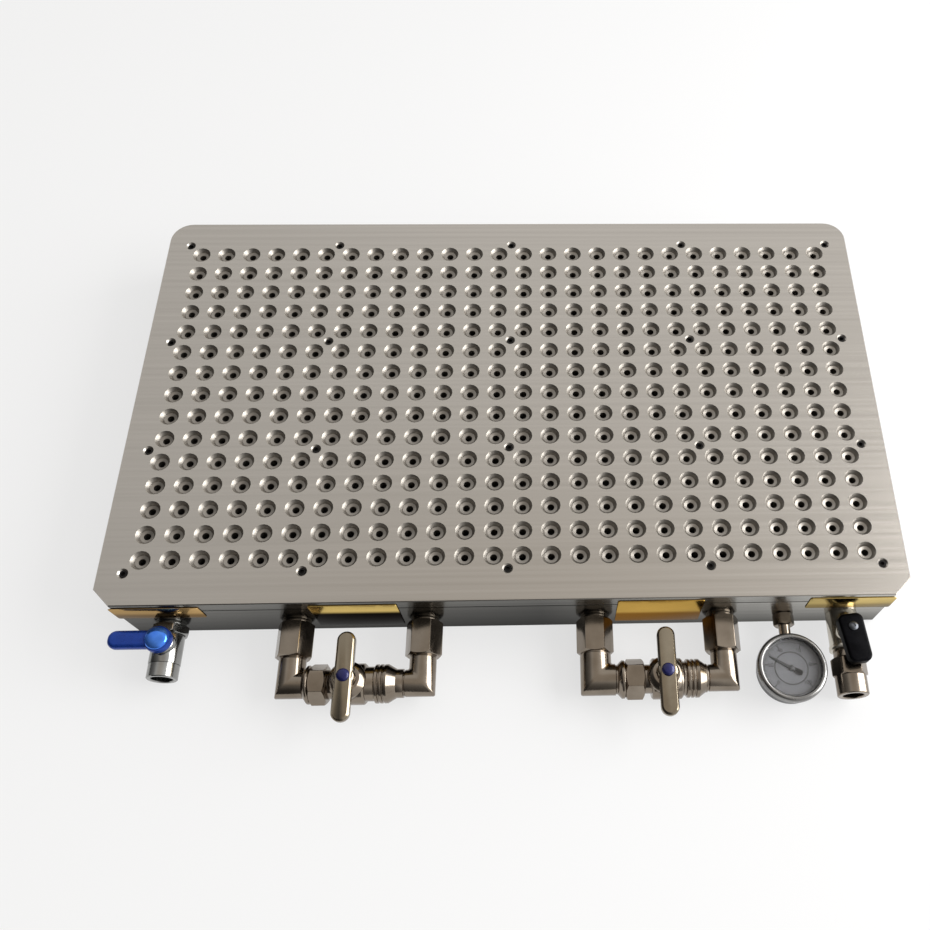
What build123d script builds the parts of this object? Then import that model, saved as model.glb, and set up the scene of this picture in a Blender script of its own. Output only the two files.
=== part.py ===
from build123d import *
import os
from math import atan, cos, degrees, pi

# Three-zone perforated vacuum chuck with two cross-over valves, a release valve,
# a supply valve and a vacuum gauge along its front wall.
# Millimetres. The origin is the centre of the base's bottom face, +Z is up,
# +X runs along the plate and -Y is the side with the pipework.

os.makedirs("parts", exist_ok=True)

# Plate
plate_length = 500.0
plate_width = 300.0
base_height = 37.0
gasket_thickness = 1.0
cover_thickness = 10.0
front_chamfer = 11.0
rear_radius = 15.0
edge_break = 0.6
gasket_inset = 1.0

# Suction holes: a wide mouth that narrows to the bore
hole_columns = 26
hole_rows = 15
column_pitch = 18.0
row_pitch = 17.2
hole_mouth = 12.5
hole_exit = 4.8
hole_sides = 6

# Cover screws stand between the holes, so their places are counted in hole pitches
screw_columns = (-13, -7, 0, 7, 13)
screw_rows = (-7.5, -2.5, 2.5, 7.5)
screw_radius = 2.0
screw_length = 16.0
screw_head_radius = 3.5
screw_head_height = 4.0
screw_head_sink = 0.6
screw_socket_flats = 3.0
screw_socket_depth = 2.0
screw_gap = 0.2
screw_hole_spare = 2.0

# Chambers milled into the base
chamber_depth = 12.0
chamber_corner = 4.0
screw_land = 4.6
rib_column = 5
rib_width = 10.0
pillar_radius = 6.0

# Ports in the front wall
port_height = 14.0
port_radius = 6.5
port_depth = 12.0
thread_length = 9.0
thread_gap = 0.1
passage_radius = 3.5
riser_setback = 5.0
gauge_port_radius = 4.85

# Where the pipework stands along the wall
crossover_inner = 54.0
crossover_spacing = 81.0
outer_valve_x = 214.0
gauge_x = 176.0

# Nameplates, left bare
nameplate_width = 54.0
nameplate_thickness = 0.6
nameplate_top_gap = 4.0
nameplate_tall = 36.0
nameplate_short = 17.0
nameplate_corner = 1.5

# Port adaptors and elbows
washer_radius = 9.0
washer_thickness = 2.0
adaptor_flats = 22.0
adaptor_length = 22.5
hex_bevel = 1.0
crossover_distance = 41.0
elbow_radius = 8.4
wide_elbow_radius = 9.8

# Ball, seats and stem, the same in all four valves
ball_radius = 6.5
seat_gap = 0.3
seat_length = 3.4
cavity_radius = 7.4
cavity_half = 8.1
insert_gap = 0.05
stem_radius = 2.5
stem_clearance = 0.3
running_gap = 0.08
tongue_width = 2.2
tongue_root = 4.7
slot_gap = 0.1
gland_flats = 12.0
gland_height = 1.8
handle_lift = 0.3

# Cross-over valve
left_reach = 9.0
left_collar = 4.0
left_cap = 9.5
right_reach = 13.0
right_collar = 6.0
right_cap = 4.5
crossover_half = 23.75
collar_radius = 12.0
crossover_hex_flats = 22.5
crossover_hex_end = -12.0
crossover_neck_end = -8.5
neck_radius = 9.0
crossover_barrel_radius = 12.8
crossover_barrel_end = 10.0
band_radius = 12.2
band_groove = 0.9
band_width = 1.6
band_pitch = 4.2
crossover_cap_flats = 23.0
crossover_bonnet_radius = 11.2
crossover_bonnet_top = 14.3
bar_length = 55.0
bar_width = 11.0
bar_thickness = 5.0
bar_boss_radius = 6.8
bar_bevel = 1.8
button_radius = 4.0
button_height = 2.0
button_seat = 1.0

# Release and supply valves, which stand on the wall by themselves
outer_valve_reach = 15.0
outer_bonnet_radius = 7.5
outer_bonnet_top = 10.9
release_hex_flats = 21.0
release_hex_length = 6.0
release_radius = 10.5
release_body_end = 12.0
release_end = 21.0
release_end_radius = 10.2
release_lever_reach = 30.0
release_lever_width = 11.5
release_hub_radius = 8.3
release_lever_thickness = 5.0
release_dome_radius = 7.0
release_dome_height = 2.4
release_dome_bevel = 1.6
supply_radius = 10.0
supply_ring_start = 7.0
supply_ring_end = 10.0
supply_ring_radius = 10.6
supply_neck_radius = 8.6
supply_nut_start = 15.0
supply_nut_end = 27.0
supply_nut_flats = 20.0
supply_end = 39.0
supply_end_radius = 10.2
supply_lever_reach = 24.0
supply_lever_width = 15.5
supply_hub_radius = 9.0
supply_lever_thickness = 7.0
supply_lever_bevel = 1.5
supply_lever_tilt = 7.0
lever_screw_radius = 3.4
lever_screw_height = 1.2
lever_screw_socket = 2.5

# Vacuum gauge, which faces up
gauge_reach = 37.0
gauge_front = 9.5
gauge_back = 7.0
case_radius = 20.3
case_wall = 1.0
case_back_bevel = 2.0
bezel_radius = 22.0
bezel_height = 5.5
bezel_lip_radius = 18.3
bezel_lip = 2.2
bezel_chamfer = 0.8
case_fit = 0.05
window_thickness = 1.6
dial_drop = 1.9
dial_thickness = 0.5
dial_gap = 0.3
dial_hole_radius = 1.1
shaft_radius = 0.6
shaft_bottom = -4.0
pointer_drop = 0.9
pointer_thickness = 0.3
pointer_length = 15.3
pointer_tail = 6.0
pointer_width = 1.7
pointer_hub_radius = 1.9
pointer_zero_angle = 149.0
gauge_hex_flats = 14.0
gauge_hex_length = 8.0
gauge_neck_radius = 3.7
gauge_passage_radius = 1.5
socket_block_width = 10.0
socket_block_height = 5.6
socket_block_inner = 9.5
tube_path_radius = 14.0
tube_height = 5.0
tube_thickness = 1.8
tube_start_angle = 67.0
tube_sweep = -250.0
movement_width = 8.0
movement_height = 5.0
movement_back = -5.0

# Worked out from the sizes above
cover_bottom = base_height + gasket_thickness
cover_top = cover_bottom + cover_thickness
chamber_floor = base_height - chamber_depth
wall_y = -plate_width / 2
rib_x = rib_column * column_pitch
chamber_end_x = screw_columns[-1] * column_pitch - screw_land
chamber_side_y = screw_rows[-1] * row_pitch - screw_land
spigot_radius = port_radius - thread_gap
cross_y = wall_y - crossover_distance
adaptor_end_y = wall_y - washer_thickness - adaptor_length
insert_radius = cavity_radius - insert_gap
screw_points = [(c * column_pitch, r * row_pitch) for c in screw_columns for r in screw_rows]
pillar_points = [
    (c * column_pitch, r * row_pitch) for c in screw_columns[1:-1] for r in screw_rows[1:-1]
]
chamber_spans = (
    (-chamber_end_x, -rib_x - rib_width / 2),
    (-rib_x + rib_width / 2, rib_x - rib_width / 2),
    (rib_x + rib_width / 2, chamber_end_x),
)
port_xs = (
    -outer_valve_x,
    -crossover_inner - crossover_spacing,
    -crossover_inner,
    crossover_inner,
    crossover_inner + crossover_spacing,
    outer_valve_x,
)


# Helpers that shape the piece under construction
def plate_outline(inset):
    """The plate's plan: straight corners in front and round ones behind."""
    outline = BuildSketch._get_context()
    Rectangle(plate_length - 2 * inset, plate_width - 2 * inset)
    chamfer(outline.vertices().group_by(Axis.Y)[0], front_chamfer)
    fillet(outline.vertices().group_by(Axis.Y)[-1], rear_radius)


def chamber_plan():
    """The three chambers side by side."""
    for low, high in chamber_spans:
        with Locations(((low + high) / 2, 0)):
            RectangleRounded(high - low, 2 * chamber_side_y, chamber_corner)


def along(place, distance):
    """The plane square to the pipe, a distance along it."""
    centre = place.from_local_coords(Vector(distance, 0, 0))
    return Plane(origin=centre, x_dir=place.y_dir, z_dir=place.x_dir)


def round_length(place, start, end, radius, mode=Mode.ADD):
    """A round length on the pipe's axis."""
    with BuildSketch(along(place, start)) as section:
        Circle(radius)
    extrude(section.sketch, amount=end - start, mode=mode)


def hex_length(place, start, end, flats):
    """A hexagonal length on the pipe's axis with bevelled ends."""
    with BuildPart(mode=Mode.PRIVATE) as bar:
        with BuildSketch(along(place, start)):
            RegularPolygon(flats / 2, 6, major_radius=False)
        extrude(amount=end - start)
        pipe = Axis(place.origin, place.x_dir)
        ends = bar.faces().sort_by(pipe)
        chamfer(ends[0].edges() + ends[-1].edges(), hex_bevel)
    add(bar.part)


def post(place, low, high, radius, mode=Mode.ADD):
    """A round length on the stem's axis."""
    with BuildSketch(place.offset(low)) as section:
        Circle(radius)
    extrude(section.sketch, amount=high - low, mode=mode)


# The base is one milled plate: three chambers, six pillars and seven ports
with BuildPart() as base_plate:
    with BuildSketch():
        plate_outline(0)
    extrude(amount=base_height)
    chamfer(base_plate.faces().sort_by(Axis.Z)[0].edges(), edge_break)
    with BuildSketch(Plane.XY.offset(chamber_floor)):
        chamber_plan()
        with Locations(*pillar_points):
            Circle(pillar_radius, mode=Mode.SUBTRACT)
    extrude(amount=chamber_depth, mode=Mode.SUBTRACT)
    with Locations(*[(x, y, base_height) for x, y in screw_points]):
        Hole(screw_radius + thread_gap / 2, depth=chamber_depth)
    front_wall = Plane(origin=(0, wall_y, port_height), x_dir=(1, 0, 0), z_dir=(0, -1, 0))
    with BuildSketch(front_wall):
        with Locations(*[(x, 0) for x in port_xs]):
            Circle(port_radius)
        with Locations((gauge_x, 0)):
            Circle(gauge_port_radius)
    extrude(amount=-port_depth, mode=Mode.SUBTRACT)
    riser_y = -chamber_side_y + riser_setback
    with BuildSketch(front_wall):
        with Locations(*[(x, 0) for x in (*port_xs, gauge_x)]):
            Circle(passage_radius)
    extrude(amount=wall_y - riser_y, mode=Mode.SUBTRACT)
    with BuildSketch(Plane.XY.offset(port_height)):
        with Locations(*[(x, riser_y) for x in (*port_xs, gauge_x)]):
            Circle(passage_radius)
    extrude(amount=chamber_floor - port_height, mode=Mode.SUBTRACT)
base_plate.part.label = "base_plate"
export_step(base_plate.part, "parts/base_plate.step")


# A flat gasket seals the rim, the ribs and the pillars
with BuildPart() as chamber_gasket:
    with BuildSketch(Plane.XY.offset(base_height)):
        plate_outline(gasket_inset)
        with BuildSketch(Plane.XY.offset(base_height), mode=Mode.SUBTRACT):
            chamber_plan()
        with Locations(*pillar_points):
            Circle(pillar_radius)
        with Locations(*screw_points):
            Circle(screw_radius + screw_gap, mode=Mode.SUBTRACT)
    extrude(amount=gasket_thickness)
chamber_gasket.part.label = "chamber_gasket"
export_step(chamber_gasket.part, "parts/chamber_gasket.step")


# One suction hole as a cutter: a funnel with a few flat flanks, since the plate has 390
flank_run = (hole_mouth - hole_exit) / 2 * cos(pi / hole_sides)
flank_angle = degrees(atan(flank_run / cover_thickness))
with BuildPart() as suction_hole:
    with BuildSketch(Plane.XY.offset(cover_bottom)):
        RegularPolygon(hole_exit / 2, hole_sides)
    extrude(amount=cover_thickness, taper=-flank_angle)

# The perforated top plate, which the workpiece lies on
with BuildPart() as top_plate:
    with BuildSketch(Plane.XY.offset(cover_bottom)):
        plate_outline(0)
    extrude(amount=cover_thickness)
    chamfer(top_plate.faces().sort_by(Axis.Z)[-1].edges(), edge_break)
    with Locations(*[(x, y, cover_top) for x, y in screw_points]):
        CounterBoreHole(
            screw_radius + screw_gap,
            screw_head_radius + screw_gap,
            screw_head_height + screw_head_sink,
        )
    with GridLocations(column_pitch, row_pitch, hole_columns, hole_rows):
        add(suction_hole.part, mode=Mode.SUBTRACT)
top_plate.part.label = "top_plate"
export_step(top_plate.part, "parts/top_plate.step")


# Twenty identical socket screws hold the top plate down
head_top = cover_top - screw_head_sink
head_bottom = head_top - screw_head_height
with BuildPart() as cover_screws:
    with BuildSketch(Plane.XY.offset(head_bottom)):
        with Locations(*screw_points):
            Circle(screw_head_radius)
    extrude(amount=screw_head_height)
    with BuildSketch(Plane.XY.offset(head_bottom - screw_length)):
        with Locations(*screw_points):
            Circle(screw_radius)
    extrude(amount=screw_length)
    with BuildSketch(Plane.XY.offset(head_top)):
        with Locations(*screw_points):
            RegularPolygon(screw_socket_flats / 2, 6, major_radius=False)
    extrude(amount=-screw_socket_depth, mode=Mode.SUBTRACT)
cover_screws.part.label = "cover_screws"
export_step(cover_screws.part, "parts/cover_screws.step")


# Four bare nameplates on the front wall, below the top edge
crossover_middle = crossover_inner + crossover_spacing / 2
nameplates = (
    ("nameplate_1", -outer_valve_x, nameplate_short),
    ("nameplate_2", -crossover_middle, nameplate_tall),
    ("nameplate_3", crossover_middle, nameplate_tall),
    ("nameplate_4", outer_valve_x, nameplate_short),
)
for plate_name, plate_x, plate_height in nameplates:
    middle_z = cover_top - nameplate_top_gap - plate_height / 2
    face = Plane(origin=(plate_x, wall_y, middle_z), x_dir=(1, 0, 0), z_dir=(0, -1, 0))
    with BuildPart() as nameplate:
        with BuildSketch(face):
            RectangleRounded(nameplate_width, plate_height, nameplate_corner)
        extrude(amount=nameplate_thickness)
    nameplate.part.label = plate_name
    export_step(nameplate.part, f"parts/{plate_name}.step")


def port_adaptor(name, x):
    """A hexagonal adaptor that screws into the wall and takes an elbow."""
    place = Plane(origin=(x, wall_y, port_height), x_dir=(0, -1, 0), z_dir=(0, 0, 1))
    end = washer_thickness + adaptor_length
    with BuildPart() as adaptor:
        round_length(place, -thread_length, 0, spigot_radius)
        round_length(place, 0, washer_thickness, washer_radius)
        hex_length(place, washer_thickness, end, adaptor_flats)
        round_length(place, -thread_length, end, passage_radius, Mode.SUBTRACT)
        round_length(place, end - thread_length, end, port_radius, Mode.SUBTRACT)
    adaptor.part.label = f"{name}_adaptor"
    export_step(adaptor.part, f"parts/{name}_adaptor.step")


def elbow_fitting(name, x, side, radius, reach):
    """A mitred elbow from its adaptor to the valve, threaded at both ends."""
    spigot = thread_length - thread_gap
    start = Vector(x, adaptor_end_y, port_height)
    corner = Vector(x, cross_y, port_height)
    stop = Vector(x + side * reach, cross_y, port_height)
    entry = start + Vector(0, spigot, 0)
    leave = stop + Vector(side * spigot, 0, 0)
    with BuildPart() as elbow:
        with BuildLine() as body_route:
            Polyline(start, corner, stop)
        with BuildSketch(Plane(origin=start, z_dir=(0, -1, 0))):
            Circle(radius)
        sweep(path=body_route.wires()[0], transition=Transition.RIGHT)
        with BuildSketch(Plane(origin=entry, z_dir=(0, -1, 0))):
            Circle(spigot_radius)
        extrude(amount=spigot)
        with BuildSketch(Plane(origin=leave, z_dir=(-side, 0, 0))):
            Circle(spigot_radius)
        extrude(amount=spigot)
        with BuildLine() as bore_route:
            Polyline(entry, corner, leave)
        with BuildSketch(Plane(origin=entry, z_dir=(0, -1, 0))):
            Circle(passage_radius)
        sweep(path=bore_route.wires()[0], transition=Transition.RIGHT, mode=Mode.SUBTRACT)
    elbow.part.label = f"{name}_elbow"
    export_step(elbow.part, f"parts/{name}_elbow.step")


def valve_inside(name, place, turn, bonnet_top, stem_top):
    """Ball, seats, stem and gland. The ball's bore lies along the turned plane's x."""
    turned = place.rotated((0, 0, turn))
    half_section = Plane(origin=place.origin, x_dir=place.x_dir, z_dir=-place.y_dir)
    seat_x = cavity_half - seat_length / 2
    with BuildPart() as seats:
        with BuildSketch(half_section):
            with Locations(*[(x, (passage_radius + insert_radius) / 2) for x in (-seat_x, seat_x)]):
                Rectangle(seat_length, insert_radius - passage_radius)
            Circle(ball_radius + seat_gap, mode=Mode.SUBTRACT)
        revolve(axis=Axis(place.origin, place.x_dir))
    seats.part.label = f"{name}_ball_seats"
    export_step(seats.part, f"parts/{name}_ball_seats.step")

    slot_width = tongue_width + 2 * slot_gap
    slot_bottom = tongue_root - slot_gap
    with BuildPart() as ball:
        with Locations(turned.location):
            Sphere(ball_radius)
        round_length(turned, -ball_radius, ball_radius, passage_radius, Mode.SUBTRACT)
        with BuildSketch(turned.offset(slot_bottom)):
            Rectangle(2 * ball_radius, slot_width)
        extrude(amount=ball_radius, mode=Mode.SUBTRACT)
    ball.part.label = f"{name}_ball"
    export_step(ball.part, f"parts/{name}_ball.step")

    with BuildPart() as stem:
        with BuildSketch(turned.offset(tongue_root)):
            Rectangle(2 * stem_radius, tongue_width)
            Circle(stem_radius, mode=Mode.INTERSECT)
        extrude(amount=ball_radius - tongue_root)
        post(turned, ball_radius, stem_top, stem_radius)
    stem.part.label = f"{name}_stem"
    export_step(stem.part, f"parts/{name}_stem.step")

    with BuildPart() as gland:
        with BuildSketch(place.offset(bonnet_top)):
            RegularPolygon(gland_flats / 2, 6, major_radius=False)
            Circle(stem_radius + running_gap, mode=Mode.SUBTRACT)
        extrude(amount=gland_height)
    gland.part.label = f"{name}_gland_nut"
    export_step(gland.part, f"parts/{name}_gland_nut.step")


def open_body(place, start, end, bonnet_top):
    """Cuts the inlet, the passage, the ball's cavity and the stem's hole into a body."""
    round_length(place, start, -cavity_half, passage_radius, Mode.SUBTRACT)
    round_length(place, -cavity_half, end, cavity_radius, Mode.SUBTRACT)
    post(place, 0, bonnet_top, stem_radius + stem_clearance, Mode.SUBTRACT)


def crossover(side_name, left_x, left_radius, reach, collar_length, cap_length):
    """One cross-over: two adaptors, two elbows and a ball valve with a bar handle."""
    name = f"{side_name}_crossover"
    port_adaptor(f"{name}_left", left_x)
    port_adaptor(f"{name}_right", left_x + crossover_spacing)
    body_length = collar_length + 2 * crossover_half
    far_reach = crossover_spacing - reach - body_length - cap_length
    elbow_fitting(f"{name}_left", left_x, 1, left_radius, reach)
    elbow_fitting(f"{name}_right", left_x + crossover_spacing, -1, elbow_radius, far_reach)

    stem_x = left_x + reach + collar_length + crossover_half
    place = Plane(origin=(stem_x, cross_y, port_height), x_dir=(1, 0, 0), z_dir=(0, 0, 1))
    start = -crossover_half - collar_length
    with BuildPart() as body:
        round_length(place, start, -crossover_half, collar_radius)
        hex_length(place, -crossover_half, crossover_hex_end, crossover_hex_flats)
        round_length(place, crossover_hex_end, crossover_neck_end, neck_radius)
        round_length(place, crossover_neck_end, crossover_barrel_end, crossover_barrel_radius)
        round_length(place, crossover_barrel_end, crossover_half, band_radius)
        for groove in (1, 2):
            middle = crossover_barrel_end + groove * band_pitch
            low = middle - band_width / 2
            with BuildSketch(along(place, low)):
                Circle(band_radius)
                Circle(band_radius - band_groove, mode=Mode.SUBTRACT)
            extrude(amount=band_width, mode=Mode.SUBTRACT)
        post(place, 0, crossover_bonnet_top, crossover_bonnet_radius)
        open_body(place, start, crossover_half, crossover_bonnet_top)
        round_length(place, start, start + thread_length, port_radius, Mode.SUBTRACT)
    body.part.label = f"{name}_valve_body"
    export_step(body.part, f"parts/{name}_valve_body.step")

    cap_end = crossover_half + cap_length
    with BuildPart() as cap:
        round_length(place, cavity_half, crossover_half, insert_radius)
        hex_length(place, crossover_half, cap_end, crossover_cap_flats)
        round_length(place, cavity_half, cap_end, passage_radius, Mode.SUBTRACT)
        round_length(place, cap_end - thread_length, cap_end, port_radius, Mode.SUBTRACT)
    cap.part.label = f"{name}_valve_cap"
    export_step(cap.part, f"parts/{name}_valve_cap.step")

    bar_bottom = crossover_bonnet_top + gland_height + handle_lift
    bar_top = bar_bottom + bar_thickness
    valve_inside(name, place, 90, crossover_bonnet_top, bar_top - button_seat)

    turned = place.rotated((0, 0, 90))
    with BuildPart() as bar:
        with BuildSketch(turned.offset(bar_bottom)):
            SlotOverall(bar_length, bar_width)
            Circle(bar_boss_radius)
        extrude(amount=bar_thickness)
        chamfer(bar.faces().sort_by(Axis.Z)[-1].edges(), bar_bevel)
        post(turned, bar_bottom, bar_top, stem_radius + insert_gap, Mode.SUBTRACT)
        post(turned, bar_top - button_seat, bar_top, button_radius, Mode.SUBTRACT)
    bar.part.label = f"{name}_bar_handle"
    export_step(bar.part, f"parts/{name}_bar_handle.step")

    with BuildPart() as button:
        post(place, bar_top - button_seat, bar_top + button_height, button_radius - insert_gap)
        chamfer(button.faces().sort_by(Axis.Z)[-1].edges(), button_height / 2)
    button.part.label = f"{name}_handle_button"
    export_step(button.part, f"parts/{name}_handle_button.step")


crossover(
    "left", -crossover_inner - crossover_spacing, elbow_radius, left_reach, left_collar, left_cap
)
crossover("right", crossover_inner, wide_elbow_radius, right_reach, right_collar, right_cap)


def lever(name, turned, bottom, reach, width, hub_radius, thickness, bevel):
    """A flat lever: a round hub on the stem and an arm with a round end."""
    with BuildPart() as arm:
        with BuildSketch(turned.offset(bottom)):
            Circle(hub_radius)
            with Locations((reach / 2 - width / 4, 0)):
                Rectangle(reach - width / 2, width)
            with Locations((reach - width / 2, 0)):
                RectangleRounded(width, width, width / 3)
        extrude(amount=thickness)
        chamfer(arm.faces().sort_by(Axis.Z)[-1].edges(), bevel)
        post(turned, bottom, bottom + thickness, stem_radius + insert_gap, Mode.SUBTRACT)
    arm.part.label = f"{name}_lever"
    export_step(arm.part, f"parts/{name}_lever.step")


# The release valve lets air back in. It stands on the left end of the wall, shut
ball_y = wall_y - outer_valve_reach
release_place = Plane(
    origin=(-outer_valve_x, ball_y, port_height), x_dir=(0, -1, 0), z_dir=(0, 0, 1)
)
release_hex_start = -outer_valve_reach + washer_thickness
release_hex_end = release_hex_start + release_hex_length
inner_end = -outer_valve_reach - thread_length
with BuildPart() as release_valve_body:
    round_length(release_place, inner_end, -outer_valve_reach, spigot_radius)
    round_length(release_place, -outer_valve_reach, release_hex_start, washer_radius)
    hex_length(release_place, release_hex_start, release_hex_end, release_hex_flats)
    round_length(release_place, release_hex_end, release_body_end, release_radius)
    post(release_place, 0, outer_bonnet_top, outer_bonnet_radius)
    open_body(release_place, inner_end, release_body_end, outer_bonnet_top)
release_valve_body.part.label = "release_valve_body"
export_step(release_valve_body.part, "parts/release_valve_body.step")

with BuildPart() as release_valve_outlet:
    round_length(release_place, cavity_half, release_body_end, insert_radius)
    round_length(release_place, release_body_end, release_end, release_end_radius)
    round_length(release_place, cavity_half, release_end, passage_radius, Mode.SUBTRACT)
    round_length(
        release_place, release_end - thread_length, release_end, port_radius, Mode.SUBTRACT
    )
release_valve_outlet.part.label = "release_valve_outlet"
export_step(release_valve_outlet.part, "parts/release_valve_outlet.step")

release_turn = -90
release_lever_bottom = outer_bonnet_top + gland_height + handle_lift
release_lever_top = release_lever_bottom + release_lever_thickness
valve_inside("release_valve", release_place, release_turn, outer_bonnet_top, release_lever_top)
release_turned = release_place.rotated((0, 0, release_turn))
lever(
    "release_valve",
    release_turned,
    release_lever_bottom,
    release_lever_reach,
    release_lever_width,
    release_hub_radius,
    release_lever_thickness,
    bar_bevel,
)
with BuildPart() as release_valve_lever_cap:
    post(
        release_place,
        release_lever_top,
        release_lever_top + release_dome_height,
        release_dome_radius,
    )
    chamfer(release_valve_lever_cap.faces().sort_by(Axis.Z)[-1].edges(), release_dome_bevel)
release_valve_lever_cap.part.label = "release_valve_lever_cap"
export_step(release_valve_lever_cap.part, "parts/release_valve_lever_cap.step")


# The supply valve takes the vacuum hose. It stands on the right end of the wall, open
supply_place = Plane(
    origin=(outer_valve_x, ball_y, port_height), x_dir=(0, -1, 0), z_dir=(0, 0, 1)
)
with BuildPart() as supply_valve_body:
    round_length(supply_place, inner_end, -outer_valve_reach, spigot_radius)
    round_length(supply_place, -outer_valve_reach, supply_ring_start, supply_radius)
    round_length(supply_place, supply_ring_start, supply_ring_end, supply_ring_radius)
    post(supply_place, 0, outer_bonnet_top, outer_bonnet_radius)
    open_body(supply_place, inner_end, supply_ring_end, outer_bonnet_top)
supply_valve_body.part.label = "supply_valve_body"
export_step(supply_valve_body.part, "parts/supply_valve_body.step")

with BuildPart() as supply_valve_outlet:
    round_length(supply_place, cavity_half, supply_ring_end, insert_radius)
    round_length(supply_place, supply_ring_end, supply_nut_end, supply_neck_radius)
    round_length(supply_place, supply_nut_end, supply_end, supply_end_radius)
    round_length(supply_place, cavity_half, supply_end, passage_radius, Mode.SUBTRACT)
    round_length(
        supply_place, supply_end - thread_length, supply_end, port_radius, Mode.SUBTRACT
    )
supply_valve_outlet.part.label = "supply_valve_outlet"
export_step(supply_valve_outlet.part, "parts/supply_valve_outlet.step")

with BuildPart() as supply_valve_nut:
    hex_length(supply_place, supply_nut_start, supply_nut_end, supply_nut_flats)
    round_length(
        supply_place,
        supply_nut_start,
        supply_nut_end,
        supply_neck_radius + insert_gap,
        Mode.SUBTRACT,
    )
supply_valve_nut.part.label = "supply_valve_nut"
export_step(supply_valve_nut.part, "parts/supply_valve_nut.step")

supply_lever_top = release_lever_bottom + supply_lever_thickness
valve_inside("supply_valve", supply_place, supply_lever_tilt, outer_bonnet_top, supply_lever_top)
supply_turned = supply_place.rotated((0, 0, supply_lever_tilt))
lever(
    "supply_valve",
    supply_turned,
    release_lever_bottom,
    supply_lever_reach,
    supply_lever_width,
    supply_hub_radius,
    supply_lever_thickness,
    supply_lever_bevel,
)
screw_top = supply_lever_top + lever_screw_height
with BuildPart() as supply_valve_lever_screw:
    post(supply_place, supply_lever_top, screw_top, lever_screw_radius)
    with BuildSketch(supply_place.offset(screw_top)):
        RegularPolygon(lever_screw_socket / 2, 6, major_radius=False)
    extrude(amount=-lever_screw_height / 2, mode=Mode.SUBTRACT)
supply_valve_lever_screw.part.label = "supply_valve_lever_screw"
export_step(supply_valve_lever_screw.part, "parts/supply_valve_lever_screw.step")


# The vacuum gauge: a flat round case that faces up, screwed into the wall by its socket
gauge_y = wall_y - gauge_reach
gauge_centre = Plane(origin=(gauge_x, gauge_y, port_height), x_dir=(1, 0, 0), z_dir=(0, 0, 1))
gauge_stem = Plane(origin=(gauge_x, wall_y, port_height), x_dir=(0, -1, 0), z_dir=(0, 0, 1))
case_inner = case_radius - case_wall
lip_bottom = gauge_front - bezel_lip
case_top = lip_bottom - window_thickness

with BuildPart() as gauge_case:
    post(gauge_centre, -gauge_back, case_top, case_radius)
    chamfer(gauge_case.faces().sort_by(Axis.Z)[0].edges(), case_back_bevel)
    post(gauge_centre, -gauge_back + case_wall, case_top, case_inner, Mode.SUBTRACT)
    round_length(gauge_stem, 0, gauge_reach, gauge_neck_radius + insert_gap, Mode.SUBTRACT)
gauge_case.part.label = "gauge_case"
export_step(gauge_case.part, "parts/gauge_case.step")

bezel_bottom = gauge_front - bezel_height
with BuildPart() as gauge_bezel:
    post(gauge_centre, bezel_bottom, gauge_front, bezel_radius)
    chamfer(gauge_bezel.faces().sort_by(Axis.Z)[-1].edges(), bezel_chamfer)
    post(gauge_centre, bezel_bottom, lip_bottom, case_radius + case_fit, Mode.SUBTRACT)
    post(gauge_centre, lip_bottom, gauge_front, bezel_lip_radius, Mode.SUBTRACT)
gauge_bezel.part.label = "gauge_bezel"
export_step(gauge_bezel.part, "parts/gauge_bezel.step")

with BuildPart() as gauge_window:
    post(gauge_centre, case_top, lip_bottom, case_radius)
gauge_window.part.label = "gauge_window"
export_step(gauge_window.part, "parts/gauge_window.step")

dial_top = case_top - dial_drop + dial_thickness
with BuildPart() as gauge_dial:
    post(gauge_centre, dial_top - dial_thickness, dial_top, case_inner - dial_gap)
    post(gauge_centre, dial_top - dial_thickness, dial_top, dial_hole_radius, Mode.SUBTRACT)
gauge_dial.part.label = "gauge_dial"
export_step(gauge_dial.part, "parts/gauge_dial.step")

# The socket: a hexagon outside, a neck through the case and a block inside it
block_reach = (case_inner**2 - (socket_block_width / 2) ** 2) ** 0.5
block_start = gauge_reach - block_reach + case_fit
with BuildPart() as gauge_socket:
    round_length(gauge_stem, -thread_length, 0, gauge_port_radius - thread_gap)
    hex_length(gauge_stem, 0, gauge_hex_length, gauge_hex_flats)
    round_length(gauge_stem, gauge_hex_length, block_start, gauge_neck_radius)
    with BuildSketch(along(gauge_stem, block_start)):
        Rectangle(socket_block_width, socket_block_height)
    extrude(amount=gauge_reach - socket_block_inner - block_start)
    block_end = gauge_reach - socket_block_inner
    round_length(
        gauge_stem, -thread_length, block_end - case_wall, gauge_passage_radius, Mode.SUBTRACT
    )
gauge_socket.part.label = "gauge_socket"
export_step(gauge_socket.part, "parts/gauge_socket.step")

# The curved tube that straightens under vacuum and turns the pointer
with BuildPart() as gauge_bourdon_tube:
    with BuildLine(gauge_centre) as bend:
        CenterArc((0, 0), tube_path_radius, tube_start_angle, tube_sweep)
    with BuildSketch(Plane(origin=bend.wires()[0] @ 0, z_dir=bend.wires()[0] % 0, x_dir=(0, 0, 1))):
        Rectangle(tube_height, tube_thickness)
    sweep(path=bend.wires()[0])
gauge_bourdon_tube.part.label = "gauge_bourdon_tube"
export_step(gauge_bourdon_tube.part, "parts/gauge_bourdon_tube.step")

with BuildPart() as gauge_movement:
    movement_length = socket_block_inner - movement_back
    with BuildSketch(gauge_centre.offset(-movement_height / 2)):
        with Locations((0, (socket_block_inner + movement_back) / 2)):
            Rectangle(movement_width, movement_length)
    extrude(amount=movement_height)
    post(
        gauge_centre,
        -movement_height / 2,
        movement_height / 2,
        shaft_radius + running_gap / 2,
        Mode.SUBTRACT,
    )
gauge_movement.part.label = "gauge_movement"
export_step(gauge_movement.part, "parts/gauge_movement.step")

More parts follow.
